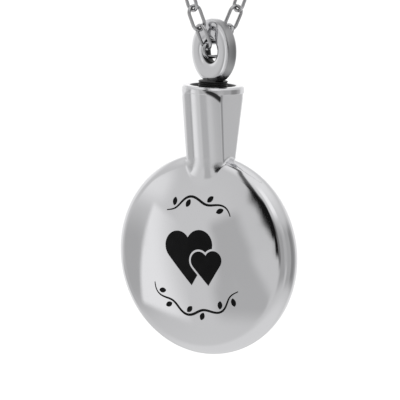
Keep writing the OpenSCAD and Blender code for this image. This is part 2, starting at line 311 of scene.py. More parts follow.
class Graph:
    """A small hand for wiring a material's or the world's nodes."""

    def __init__(self, tree: bpy.types.NodeTree) -> None:
        """Starts on an emptied tree."""
        self.tree = tree
        tree.nodes.clear()

    def add(self, kind: str, inputs: dict | None = None, **settings: object) -> bpy.types.Node:
        """Adds a node.

        Args:
            kind: The node's type name.
            inputs: Values or output sockets for its inputs, by name or number.
            **settings: Its own properties.

        Returns:
            The node.
        """
        node = self.tree.nodes.new(kind)
        for key, value in settings.items():
            setattr(node, key, value)
        for key, value in (inputs or {}).items():
            if isinstance(value, bpy.types.NodeSocket):
                self.tree.links.new(value, node.inputs[key])
            else:
                node.inputs[key].default_value = value
        return node

    def math(self, operation: str, *values: object) -> bpy.types.NodeSocket:
        """One Math node's result."""
        return self.add("ShaderNodeMath", dict(enumerate(values)), operation=operation).outputs[0]

    def span(self, value: bpy.types.NodeSocket, low: float, high: float, out_low: float,
             out_high: float) -> bpy.types.NodeSocket:
        """A value mapped smoothly from one range onto another, and clamped."""
        node = self.add("ShaderNodeMapRange", {"Value": value, "From Min": low, "From Max": high,
                                               "To Min": out_low, "To Max": out_high},
                        interpolation_type="SMOOTHSTEP")
        return node.outputs["Result"]

    def tinted(self, tint: tuple[float, float, float], shade: bpy.types.NodeSocket) -> bpy.types.NodeSocket:
        """A colour times a brightness."""
        return self.add("ShaderNodeVectorMath", {0: tint, "Scale": shade}, operation="SCALE").outputs[0]

    def bump(self, depth: float, height: bpy.types.NodeSocket, **more: object) -> bpy.types.NodeSocket:
        """A normal that follows a height, as deep as given, in metres."""
        inputs = {"Strength": 1.0, "Distance": depth, "Height": height, **more}
        return self.add("ShaderNodeBump", inputs).outputs[0]

    def noise(self, scale: float, detail: float, stretch: tuple[float, float, float] = (1, 1, 1),
              turn: tuple[float, float, float] = (0, 0, 0)) -> bpy.types.NodeSocket:
        """Noise over the object's own coordinates, stretched and turned.

        Args:
            scale: Waves in a metre.
            detail: Number of finer layers.
            stretch: Scale along each axis, on top of the first.
            turn: Turn about each axis, in radians.

        Returns:
            The noise value, from 0 to 1.
        """
        where = self.add("ShaderNodeTexCoord").outputs["Object"]
        turned = self.add("ShaderNodeMapping", {"Vector": where, "Rotation": turn, "Scale": stretch})
        return self.add("ShaderNodeTexNoise", {"Vector": turned.outputs[0], "Scale": scale,
                                               "Detail": detail}).outputs["Fac"]


def blank_material(name: str) -> tuple[bpy.types.Material, Graph]:
    """Makes a material to be wired.

    Args:
        name: Its name.

    Returns:
        The material, and the hand on its emptied tree.
    """
    made = bpy.data.materials.new(name)
    made.use_nodes = True
    return made, Graph(made.node_tree)


@dataclass(frozen=True)
class PolishedSteel:
    """Mirror polished stainless steel with the buffing's soft waves, hairlines, fine handling marks, and painted shade
    where the polish is low.

    Attributes:
        name: The material's name.
        tint: Colour of the reflection.
        dullest: Roughness in the hazed patches.
        clearest: Roughness between them.
        haze_scale: Hazed patches in a metre.
        haze_span: Noise at which the haze starts and at which it is full.
        wave_scale: Buffing waves in a metre.
        wave_height: Height of the waves, in metres.
        hairlines: Each set of hairlines: its lines in a metre, its stretch and its turn.
        line_height: Depth of the hairlines, in metres.
        painted_shade_darkest: Brightness, as a share of the tint, where the polish is lowest: painted shade that
            darkens the metal.
        machined_dull: Roughness of that metal.
        satin: Polish from which the metal has its full brightness, and only its haze still goes.
    """

    name: str = "polished_steel"
    tint: tuple[float, float, float] = (0.70, 0.70, 0.715)
    dullest: float = 0.085
    clearest: float = 0.035
    haze_scale: float = 420.0
    haze_span: tuple[float, float] = (0.35, 0.75)
    wave_scale: float = 260.0
    wave_height: float = 0.0000012
    hairlines: tuple[tuple, ...] = ((9000, (1, 1, 0.02), (0.1, 0.3, 0)), (7000, (0.03, 1, 1), (0, 0.5, 0.2)))
    line_height: float = 0.0000004
    painted_shade_darkest: float = 0.07
    machined_dull: float = 0.4
    satin: float = 0.6

    def material(self) -> bpy.types.Material:
        """Builds the finish.

        Returns:
            The material: haze in the roughness, waves and two crossed sets of hairlines in the bump, and painted
                shade:
            darker, rougher metal wherever the polish attribute is low.
        """
        made, g = blank_material(self.name)
        polish_and_shade = g.add("ShaderNodeAttribute", attribute_name="polish_and_shade").outputs["Fac"]
        haze = g.span(g.noise(self.haze_scale, 4), *self.haze_span, self.clearest, self.dullest)
        rough = g.math("ADD", haze, g.span(polish_and_shade, 0, 1, self.machined_dull, 0))
        # Painted shade: the base colour darkens where the polish attribute is low.
        shade = g.span(polish_and_shade, 0, self.satin, self.painted_shade_darkest, 1)
        waves = g.bump(self.wave_height, g.noise(self.wave_scale, 1))
        lines = g.math("ADD", *(g.noise(scale, 2, stretch, turn) for scale, stretch, turn in self.hairlines))
        steel = g.add("ShaderNodeBsdfPrincipled", {"Base Color": g.tinted(self.tint, shade), "Metallic": 1.0,
                                                   "Roughness": rough,
                                                   "Normal": g.bump(self.line_height, lines, Normal=waves)})
        g.add("ShaderNodeOutputMaterial", {"Surface": steel.outputs[0]})
        return made


@dataclass(frozen=True)
class BlackEnamel:
    """Black enamel filling, softly glossy, with the faint mottling and orange peel of a baked fill.

    Attributes:
        name: The material's name.
        tint: Its colour.
        dullest: Roughness in the dull specks.
        clearest: Roughness between them.
        speck_scale: Dull specks in a metre.
        shade_scale: Darker and lighter patches in a metre.
        shade_span: Their least and greatest brightness, as shares of the tint.
        gloss: Strength of the shine.
        peel_scale: Dimples of the orange peel in a metre.
        peel_height: Their depth, in metres.
    """

    name: str = "black_enamel"
    tint: tuple[float, float, float] = (0.0025, 0.0025, 0.0028)
    dullest: float = 0.34
    clearest: float = 0.22
    speck_scale: float = 2600.0
    shade_scale: float = 900.0
    shade_span: tuple[float, float] = (0.8, 1.25)
    gloss: float = 0.09
    peel_scale: float = 5200.0
    peel_height: float = 0.000004

    def material(self) -> bpy.types.Material:
        """Builds the finish.

        Returns:
            The material: mottled colour and roughness, and a shallow orange-peel bump.
        """
        made, g = blank_material(self.name)
        rough = g.span(g.noise(self.speck_scale, 3), *NOISE_SPAN, self.clearest, self.dullest)
        shade = g.span(g.noise(self.shade_scale, 3), *NOISE_SPAN, *self.shade_span)
        peel = g.bump(self.peel_height, g.noise(self.peel_scale, 2), Strength=0.5)
        enamel = g.add("ShaderNodeBsdfPrincipled", {"Base Color": g.tinted(self.tint, shade), "Roughness": rough,
                                                    "Specular IOR Level": self.gloss, "Normal": peel})
        g.add("ShaderNodeOutputMaterial", {"Surface": enamel.outputs[0]})
        return made


@dataclass(frozen=True)
class PaleFloor:
    """Matt pale floor with the faintest mottling.

    Attributes:
        name: The material's name.
        tint: Its colour.
        patch_scale: Patches in a metre.
        darkest: Brightness of the darkest patch, as a share of the tint.
    """

    name: str = "pale_floor"
    tint: tuple[float, float, float] = (0.92, 0.92, 0.92)
    patch_scale: float = 1.5
    darkest: float = 0.995

    def material(self) -> bpy.types.Material:
        """Builds the finish.

        Returns:
            The material: an even matt white with half a percent of mottling.
        """
        made, g = blank_material(self.name)
        shade = g.span(g.noise(self.patch_scale, 2), *NOISE_SPAN, self.darkest, 1.0)
        matt = g.add("ShaderNodeBsdfDiffuse", {"Color": g.tinted(self.tint, shade)})
        g.add("ShaderNodeOutputMaterial", {"Surface": matt.outputs[0]})
        return made


@dataclass
class Vessel:
    """The hollow disc vessel with its neck: one skin, from the outside over the lip and down into the hollow.

    Attributes:
        centre: The disc's middle in the shared frame.
        disc_r: Its radius.
        neck_top: Height of the mouth above the middle.
        top_r: Radius of the neck's round bar.
        disc_t: Thickness of the disc.
        rim_r: Radius of its rounded rim.
        wall: Thickness of the wall round the hollow.
        skin_drop: How far the disc's skin lies below the fillings' faces.
        neck_sink: How far the neck's base lies below the disc's top.
        neck_base_t: Depth of the neck there.
        face_more: How much larger the arched faces' radius is than the bar's.
        face_start: How far below the mouth the arched faces begin.
        flat_top: Distance of the flats from the middle, under the lip.
        flat_base: The same at the neck's base.
        flat_edge: Reach of the rounding along the flats' edges.
        lip_h: Height of the lip above the flats.
        lip_round: Radius of its outer edge.
        bevel: Width and depth of its inner slope.
        edge_round: Radius of the slope's two edges.
        recess_r: Radius of the recess inside it.
        recess_deep: Depth of the recess.
        bore_r: Radius of the threaded bore.
        bore_end: Height of the bore's lower end above the middle.
        passage_r: Radius of the filling passage.
        fillet: Reach of the fillet between neck and disc, in front and behind.
        fillet_less: Share of it that is lost at the flats.
        neck_polish: Polish of the neck.
        foot_polish: Polish of its foot.
        foot_drop: How far the foot's middle line lies below the neck's base.
        foot_reach: How far from there its satin is gone, and how far from there it is full.
        dark_wedge_from: Widths at which the painted dark wedges beside the lip start and are full.
        dark_wedge_drop: How far their upper edge drops on its way to the flat.
        mouth_shade_steps: Polish of the rows where the inner slope goes over to rough metal that is dark with painted
            shade.
        mouth_rows: Rows from the first of those to the recess's foot.
        columns: Points round a contour.
        crowd: How much closer together they stand in front and behind.
    """

    centre: np.ndarray
    disc_r: float
    neck_top: float
    top_r: float
    disc_t: float = 6.0
    rim_r: float = 1.7
    wall: float = 0.8
    skin_drop: float = 0.035
    neck_sink: float = 0.5
    neck_base_t: float = 4.2
    face_more: float = 0.6
    face_start: float = 0.3
    flat_top: float = 2.5
    flat_base: float = 2.37
    flat_edge: float = 0.16
    lip_h: float = 0.75
    lip_round: float = 0.35
    bevel: float = 0.4
    edge_round: float = 0.12
    recess_r: float = 2.15
    recess_deep: float = 1.5
    bore_r: float = 1.8
    bore_end: float = 11.6
    passage_r: float = 1.2
    fillet: float = 0.6
    fillet_less: float = 0.65
    neck_polish: float = 0.74
    foot_polish: float = 0.6
    foot_drop: float = 0.3
    foot_reach: tuple[float, float] = (1.12, 0.42)
    dark_wedge_from: tuple[float, float] = (0.5, 1.2)
    dark_wedge_drop: float = 0.75
    mouth_shade_steps: tuple[float, ...] = (0.5, 0.25, 0.1)
    mouth_rows: int = 11
    columns: int = 224
    crowd: float = 0.22

    def __post_init__(self) -> None:
        """Works out the dome's circle, the neck's heights and the faces' lean."""
        self.rim_at = self.disc_r - self.rim_r
        half = self.disc_t / 2
        self.dome_r = (self.rim_at**2 + half**2 - self.rim_r**2) / (self.disc_t - 2 * self.rim_r)
        self.dome_c = half - self.dome_r
        self.dome_span = math.asin(self.rim_at / (self.dome_r - self.rim_r))
        self.neck_base = self.disc_r - self.neck_sink
        self.lip_z = self.neck_top - self.lip_h
        self.seat_z = self.neck_top - self.recess_deep
        self.face_r = self.top_r + self.face_more
        self.face_z = self.neck_top - self.face_start
        self.lean = math.atan((self.top_r - self.neck_base_t / 2) / (self.face_z - self.neck_base))
        turn = full_turn(self.columns)
        self.u = turn + self.crowd * np.sin(2 * turn)

    def disc(self, x: np.ndarray, y: np.ndarray, z: np.ndarray, inset: float) -> np.ndarray:
        """Measures to the disc: to the dome's circle inside its span, else to the rim's circle.

        Args:
            x: Widths, from the disc's middle.
            y: Depths.
            z: Heights.
            inset: How far inside the disc's own surface the measured one lies.

        Returns:
            The distance at each point, below nought inside.
        """
        out, deep = np.hypot(x, z), np.abs(y)
        on_dome = np.arctan2(out, deep - self.dome_c) < self.dome_span
        dome = np.hypot(out, deep - self.dome_c) - (self.dome_r - inset)
        rim = np.hypot(out - self.rim_at, deep) - (self.rim_r - inset)
        return np.where(on_dome, dome, rim)

    def flat_at(self, z: np.ndarray) -> np.ndarray:
        """Distance of the neck's flats from its middle at a height."""
        draft = (self.flat_top - self.flat_base) / (self.lip_z - self.neck_base)
        return self.flat_base + draft * (z - self.neck_base)

    def arch_at(self, x: np.ndarray, z: np.ndarray) -> np.ndarray:
        """Depth of the neck's arched face at a width and a height: a wide bar's surface that leans in downwards."""
        drop = self.face_r - np.sqrt(self.face_r**2 - x**2)
        return self.top_r - drop / math.cos(self.lean) + (z - self.face_z) * math.tan(self.lean)

    def barrel(self, x: np.ndarray, y: np.ndarray, z: np.ndarray) -> np.ndarray:
        """Distance to the neck without its flats: the greater of those to its round bar and to its arched faces."""
        along = (self.top_r - np.abs(y)) * math.cos(self.lean) + (z - self.face_z) * math.sin(self.lean)
        return np.maximum(np.hypot(x, y) - self.top_r, np.hypot(x, along - self.face_r) - self.face_r)

    def neck(self, x: np.ndarray, y: np.ndarray, z: np.ndarray) -> np.ndarray:
        """Distance to the neck: the greater of the distances to its barrel and to its two flats, above its foot."""
        ground = -blended(-self.barrel(x, y, z), self.flat_at(z) - np.abs(x), self.flat_edge)
        return np.maximum(ground, self.rim_at / 2 - z)

    def outside(self, x: np.ndarray, y: np.ndarray, z: np.ndarray) -> np.ndarray:
        """Distance to disc and neck together, with a fillet that is wide in front and behind, small at the flats."""
        reach = self.fillet * (1 - self.fillet_less * ramp(np.abs(x), 0, self.flat_base) ** 3)
        return blended(self.disc(x, y, z, self.skin_drop), self.neck(x, y, z), reach)

    def hollow(self, x: np.ndarray, y: np.ndarray, z: np.ndarray) -> np.ndarray:
        """Distance to the wall of the hollow."""
        return self.disc(x, y, z, self.wall)

    def contours(self, distance: Callable, z: np.ndarray, wide: np.ndarray, deep: np.ndarray) -> np.ndarray:
        """Closed contours of a form.

        Each point lies at height z on the ray (wide cos u, deep sin u) out from the upright axis, where the
        distance is nought. The place on the ray is found by halving.

        Args:
            distance: Distance function of x, y and z.
            z: Heights, rows by 1 or rows by columns.
            wide: The rays' reach along X for each row.
            deep: The rays' reach along Y for each row.

        Returns:
            Points as rows by columns by 3.
        """
        across, along = wide * np.cos(self.u), deep * np.sin(self.u)
        high = z + 0 * across
        out = last_inside(lambda t: distance(t * across, t * along, high) < 0, 0 * across, 0 * across + FARTHEST)
        return np.stack([out * across, out * along, high], axis=-1)

    def half_sizes(self, z: np.ndarray, inset: float) -> tuple[np.ndarray, np.ndarray]:
        """Measures the disc's level sections.

        Args:
            z: Their heights.
            inset: How far inside the disc's own surface the measured one lies.

        Returns:
            Half width and half depth at each height.
        """
        r, high = self.disc_r - inset, np.minimum(np.abs(z), self.disc_r - inset)
        wide = np.sqrt(np.maximum(r**2 - high**2, 1e-9))
        dome = np.sqrt((self.dome_r - inset) ** 2 - high**2) + self.dome_c
        rim = np.sqrt(np.maximum((self.rim_r - inset) ** 2 - (high - self.rim_at) ** 2, 1e-9))
        return wide, np.where(high < (self.dome_r - inset) * math.sin(self.dome_span), dome, rim)

    def outer_rows(self) -> np.ndarray:
        """Works out the outside up to the lip.

        Contours lie evenly along the disc's edge from its lowest point to its shoulder. Above, they crowd where neck
        and disc meet and just under the lip. On the neck the rays' reach follows its corners, so that each of them
        stays on one column.

        Returns:
            Contours as rows by columns by 3, from the lowest up.
        """
        r = self.disc_r - self.skin_drop
        shoulder, clear, hollows = 0.68 * r, r + 0.6, 16.4
        stages = ((shoulder, clear, 66), (clear, hollows, 12), (hollows, self.lip_z - 0.03, 14))
        turn = np.linspace(0.012, math.acos(-shoulder / r), 110)
        z = np.concatenate([-r * np.cos(turn), *(np.linspace(*stage)[1:] for stage in stages)])[:, None]
        wide, deep = self.half_sizes(z, self.skin_drop)
        on_neck = z > self.rim_at / 2
        x = self.flat_at(z)
        y = np.minimum(self.arch_at(x, z), np.sqrt(self.top_r**2 - x**2))
        wide = np.where(on_neck, np.maximum(wide, math.sqrt(2) * x), wide)
        deep = np.where(on_neck, np.maximum(deep, math.sqrt(2) * y), deep)
        return self.contours(self.outside, z, wide, deep)

    def lip_rows(self, below: np.ndarray) -> np.ndarray:
        """Works out the lip.

        Rows crowd at the ledge's two corners, under the lip and where the bar starts, so that both stay crisp.

        Args:
            below: The neck's last contour.

        Returns:
            Contours from there out under the lip, up the bar, round the lip's edge and down to the recess's foot.
        """
        edge_z = self.neck_top - self.lip_round
        z = np.concatenate([[self.lip_z, self.lip_z + 0.04, self.lip_z + 0.1], np.linspace(self.lip_z, edge_z, 6)[2:]])
        barrel = self.contours(self.barrel, z[:, None], np.full((len(z), 1), self.top_r), self.top_r)
        share = np.array([0.03, 0.12, 0.4, 0.75, 0.93])[:, None, None]
        step = below + (barrel[0] - below) * share
        step[..., 2] = self.lip_z
        barrel[0, :, :2] = below[:, :2] + (barrel[1, :, :2] - below[:, :2]) * 0.99
        edge_r, inner, soft = self.top_r - self.lip_round, self.recess_r + self.bevel, self.edge_round
        outline = np.concatenate([
            arc_points((edge_r, edge_z), self.lip_round, 9, 90, 9),
            arc_points((inner, self.neck_top - soft), soft, 90, 135, 4),
            arc_points((self.recess_r + soft, self.neck_top - self.bevel - 0.05), soft, 135, 180, 4),
            [[self.recess_r, self.seat_z + 0.05], [self.recess_r - 0.03, self.seat_z],
             [self.bore_r + 0.06, self.seat_z], [self.bore_r, self.seat_z - 0.06]],
        ])
        return np.concatenate([step, barrel, lathe(outline, self.u)])

    def inner_rows(self) -> np.ndarray:
        """Works out the inside.

        From the passage's end, which is where it meets the hollow's wall, the rows widen and level out. Then they
        go down the hollow, evenly along its edge.

        Returns:
            Contours of the bore, the filling passage and the hollow, from the bore's mouth to the lowest point.
        """
        outline = np.array([[self.bore_r, self.bore_end + 0.4], [self.bore_r - 0.05, self.bore_end],
                            [self.passage_r + 0.1, self.bore_end - 0.1], [self.passage_r, self.bore_end - 0.2]])
        x, y = self.passage_r * np.cos(self.u), self.passage_r * np.sin(self.u)
        meets = last_inside(lambda z: self.hollow(x, y, z) < 0, 0 * x + self.disc_r / 2, 0 * x + self.disc_r)
        level = float(meets.min()) - 0.3
        share = np.linspace(0, 1, 12)[:, None]
        z = meets * (1 - share) + level * share
        wide, deep = self.half_sizes(np.array([[level]]), self.wall)
        parting = self.contours(self.hollow, z, self.passage_r * (1 - share) + wide * share,
                                self.passage_r * (1 - share) + deep * share)
        r = self.disc_r - self.wall
        turn = np.linspace(math.acos(level / r), math.pi - 0.02, 48)[1:]
        down = (r * np.cos(turn))[:, None]
        wide, deep = self.half_sizes(down, self.wall)
        return np.concatenate([lathe(outline, self.u), parting, self.contours(self.hollow, down, wide, deep)])

    def painted_dark_wedges(self, rings: np.ndarray) -> np.ndarray:
        """Works out the small dark wedges beside the lip: a painted dark reflection on one side of the bar.

        Each is the product of ramps, in millimetres: how near the bar's own surface a corner is, how near the flat,
        and how far below an upper edge, face_z - dark_wedge_drop * s ** 3, where s goes from 0 to 1 on the way to the
        flat.

        Args:
            rings: Contours as rows by columns by 3.

        Returns:
            How much painted dark reflection each corner gets, rows by columns: 1 in a wedge, on one side of the bar
            only.
        """
        x, y, z = np.abs(rings[..., 0]), rings[..., 1], rings[..., 2]
        on_bar = ramp(np.hypot(x, y) - self.top_r, -0.06, -0.01)
        beside = ramp(x, *self.dark_wedge_from) * ramp(self.flat_at(z) - x, -0.02, 0.08)
        upper = self.face_z - self.dark_wedge_drop * ramp(x, 0.9, self.flat_top) ** 3
        # The painted dark reflection lies on one side of the bar only.
        wedge_side = (rings[..., 0] * y < 0) & (z > self.disc_r)
        return on_bar * beside * ramp(upper - z, -0.075, 0.075) * wedge_side

    def buffed(self, rings: np.ndarray) -> np.ndarray:
        """Works out how well the wheel reached each corner.

        The foot is a band along a level line. Its satin fades out above and below, and beyond the flats, and each
        ramp is straight.

        Args:
            rings: Contours as rows by columns by 3.

        Returns:
            Polish, rows by columns: 1 on the disc, foot_polish on the foot and neck_polish on the neck.
        """
        rise = rings[..., 2] - self.neck_base
        beyond = np.abs(rings[..., 0]) - self.flat_base
        foot = ramp(np.abs(rise + self.foot_drop), *self.foot_reach) * ramp(beyond, 0.7, 0.3)
        return 1 - np.maximum(ramp(rise, 0, 0.6) * (1 - self.neck_polish), foot * (1 - self.foot_polish))

    def skin(self) -> Surface:
        """Works out the whole skin.

        Returns:
            The skin in millimetres of the shared frame, polished outside, and rough and dark with painted shade
            inside.
        """
        outer = self.outer_rows()
        lip, inner = self.lip_rows(outer[-1]), self.inner_rows()
        rings = np.concatenate([outer, lip, inner])
        bright = len(outer) + len(lip) - self.mouth_rows
        # Painted shade: after a few steps down from the lip, the rows inside the mouth and the hollow are dark.
        unshaded_share = np.zeros(len(rings))
        unshaded_share[:bright] = 1
        unshaded_share[bright:bright + len(self.mouth_shade_steps)] = self.mouth_shade_steps
        # The dark wedges beside the lip are a painted dark reflection.
        polish_and_shade = unshaded_share[:, None] * self.buffed(rings) * (1 - self.painted_dark_wedges(rings))
        return loft(rings, polish_and_shade=polish_and_shade).moved(self.centre)

    def build(self, finish: bpy.types.Material) -> bpy.types.Object:
        """Makes the vessel's piece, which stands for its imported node."""
        return piece("vessel", self.skin(), finish, Body.URN, ["urn_body"])


@dataclass(frozen=True)
class Fillings:
    """The enamel in the engraved hearts and vines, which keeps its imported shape.

    Attributes:
        nodes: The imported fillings.
    """

    nodes: tuple[str, ...] = ("heart_large_fill", "heart_small_fill", "vine_upper_fill", "vine_lower_fill")

    def dress(self, finish: bpy.types.Material) -> None:
        """Gives each filling its finish.

        Args:
            finish: The enamel.
        """
        for name in self.nodes:
            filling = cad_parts[name]
            filling.data.materials.clear()
            filling.data.materials.append(finish)
            LOG.info("%s: dressed", name)


@dataclass
class Stopper:
    """The screw-in stopper: threaded shank, head, stem and the ring eye, as one polished piece.

    Attributes:
        centre: The disc's middle in the shared frame.
        neck_top: Height of the vessel's mouth above the middle.
        seat_z: Height of the seat in its recess.
        shank_r: Radius over the thread.
        shank_len: Length of the shank.
        pitch: Rise of the thread in a turn.
        thread: Depth of the thread.
        head_r: Radius of the head.
        head_t: Thickness of the head.
        head_edge: Radius of the head's lower edge.
        head_round: Radius of its upper edge.
        stem_r: Radius of the stem.
        stem_foot: Radius of the hollow where the stem meets the head.
        stem_more: How far the stem's shoulder stands above the ring's lowest point.
        grooves: Number of grooves round the stem.
        groove_deep: Their depth.
        eye_r: Outer radius of the ring.
        hole_r: Radius of its hole.
        eye_t: Its thickness.
        eye_rise: Height of its lowest point above the mouth.
        eye_turn: Turn of its face from the front, in degrees.
        squareness: How square its section is, from 2 for a round one.
        shaded_rim_polish: Polish of its rim on the wearer's left, low enough to paint shade there.
        thread_polish: Polish of the shank.
    """

    centre: np.ndarray
    neck_top: float
    seat_z: float
    shank_r: float = 1.75
    shank_len: float = 4.8
    pitch: float = 0.6
    thread: float = 0.25
    head_r: float = 2.1
    head_t: float = 0.9
    head_edge: float = 0.08
    head_round: float = 0.15
    stem_r: float = 1.6
    stem_foot: float = 0.1
    stem_more: float = 0.25
    grooves: int = 4
    groove_deep: float = 0.09
    eye_r: float = 3.5
    hole_r: float = 1.2
    eye_t: float = 1.5
    eye_rise: float = 0.2
    eye_turn: float = 23.0
    squareness: float = 3.2
    shaded_rim_polish: float = 0.3
    thread_polish: float = 0.4

    def __post_init__(self) -> None:
        """Works out the height of the eye's centre."""
        self.eye_z = self.neck_top + self.eye_rise + self.eye_r

    def ring(self) -> Surface:
        """Works out the ring eye: a rounded bar section carried round the hole, then turned to face the hole's way.

        The section is a squared circle: |x / a| ** n + |y / b| ** n = 1 in the bar's width and thickness, where n is
        the squareness. The faces are polished; the rim is satin and darkened with painted shade towards the wearer's
        left, and the hole's wall is dark with painted shade.

        Returns:
            The ring, in place above the disc's middle.
        """
        v, power = full_turn(44), 2 / self.squareness
        middle, half = (self.eye_r + self.hole_r) / 2, (self.eye_r - self.hole_r) / 2
        wide = middle + half * np.sign(np.cos(v)) * np.abs(np.cos(v)) ** power
        thick = self.eye_t / 2 * np.sign(np.sin(v)) * np.abs(np.sin(v)) ** power
        u = full_turn(160)[:, None]
        rings = np.stack([wide * np.cos(u), thick + 0 * u, wide * np.sin(u)], axis=-1)
        c, s = math.cos(math.radians(self.eye_turn)), math.sin(math.radians(self.eye_turn))
        turn = np.array([[c, s, 0], [-s, c, 0], [0, 0, 1]])
        # Painted shade: the rim darkens towards the wearer's left, and the hole's wall is darkest of all.
        satin = (1 - self.shaded_rim_polish) * ramp(np.cos(u), -0.6, 0.4)
        polish_and_shade = 1 - ramp(np.abs(np.cos(v)), 0.6, 0.8) * np.where(np.cos(v) > 0, satin, 1)
        return loft(rings @ turn.T, ring_closed=True, polish_and_shade=polish_and_shade).moved((0, 0, self.eye_z))

    def plug(self) -> Surface:
        """Works out shank, head and stem as one turned form.

        The shank's radius follows a screw thread: root + depth * w, where w rises and falls evenly once for each
        pitch of z / pitch - u / (2 * pi), with its crest and root cut flat, and fades out at both ends. The stem's
        radius is stem_r - groove_deep * (1 - cos(a)) / 2, where a makes a full turn in each groove. The shank and
        the head's lower edge are satin, and above them the metal is rough and dark with painted shade.

        Returns:
            The form, in place above the disc's middle.
        """
        u, rows = full_turn(96), 96
        head_z = self.seat_z + 0.05
        z = np.linspace(self.seat_z - self.shank_len, head_z, rows)[:, None]
        wave = np.abs(((z / self.pitch - u / (2 * math.pi)) % 1) * 2 - 1)
        fade = ramp(z - z[0], 0, self.pitch) * ramp(z[-1] - z, 0, self.pitch)
        r = self.shank_r - self.thread + self.thread * np.clip(wave * 1.6 - 0.3, 0, 1) * fade
        thread = np.stack([r * np.cos(u), r * np.sin(u), z + 0 * u], axis=-1)
        foot = lathe(np.array([[self.shank_r - 2 * self.thread, z[0, 0] - 0.01]]), u)
        top, shoulder = head_z + self.head_t, self.neck_top + self.eye_rise + self.stem_more
        edge, soft, hollow = self.head_edge, self.head_round, self.stem_foot
        head = np.concatenate([
            [[self.head_r - 1.5 * edge, head_z]],
            arc_points((self.head_r - edge, head_z + edge), edge, -90, 0, 4),
            arc_points((self.head_r - soft, top - soft), soft, 0, 90, 6),
            arc_points((self.stem_r + hollow, top + hollow), hollow, 270, 180, 4),
        ])
        rise = np.linspace(top + hollow + 0.02, shoulder - 0.05, 48)
        a = ramp(rise, rise[0], rise[-1]) * self.grooves * 2 * math.pi
        stem = np.stack([self.stem_r - self.groove_deep * (0.5 - 0.5 * np.cos(a)), rise], axis=-1)
        inside = self.eye_z - (self.eye_r + self.hole_r) / 2
        half = self.eye_t / 2
        collar = np.array([[self.stem_r - 0.02, shoulder], [self.stem_r - 0.1, shoulder + 0.04],
                           [half + 0.1, shoulder + 0.08], [half, shoulder + 0.18], [half - 0.1, inside]])
        rings = np.concatenate([foot, thread, lathe(head, u), lathe(stem, u), lathe(collar, u)])
        lower_edge = 5
        # Painted shade: the head's top, the stem and the collar are dark, and the shank is satin.
        shaded_grade = np.zeros((len(rings), 1))
        shaded_grade[:len(foot) + rows + lower_edge] = self.thread_polish
        return loft(rings, polish_and_shade=shaded_grade)

    def build(self, finish: bpy.types.Material) -> bpy.types.Object:
        """Makes the stopper's piece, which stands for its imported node."""
        skin = joined([self.plug(), self.ring()]).moved(self.centre)
        return piece("ring_stopper", skin, finish, Body.STOPPER, ["stopper_eye"])


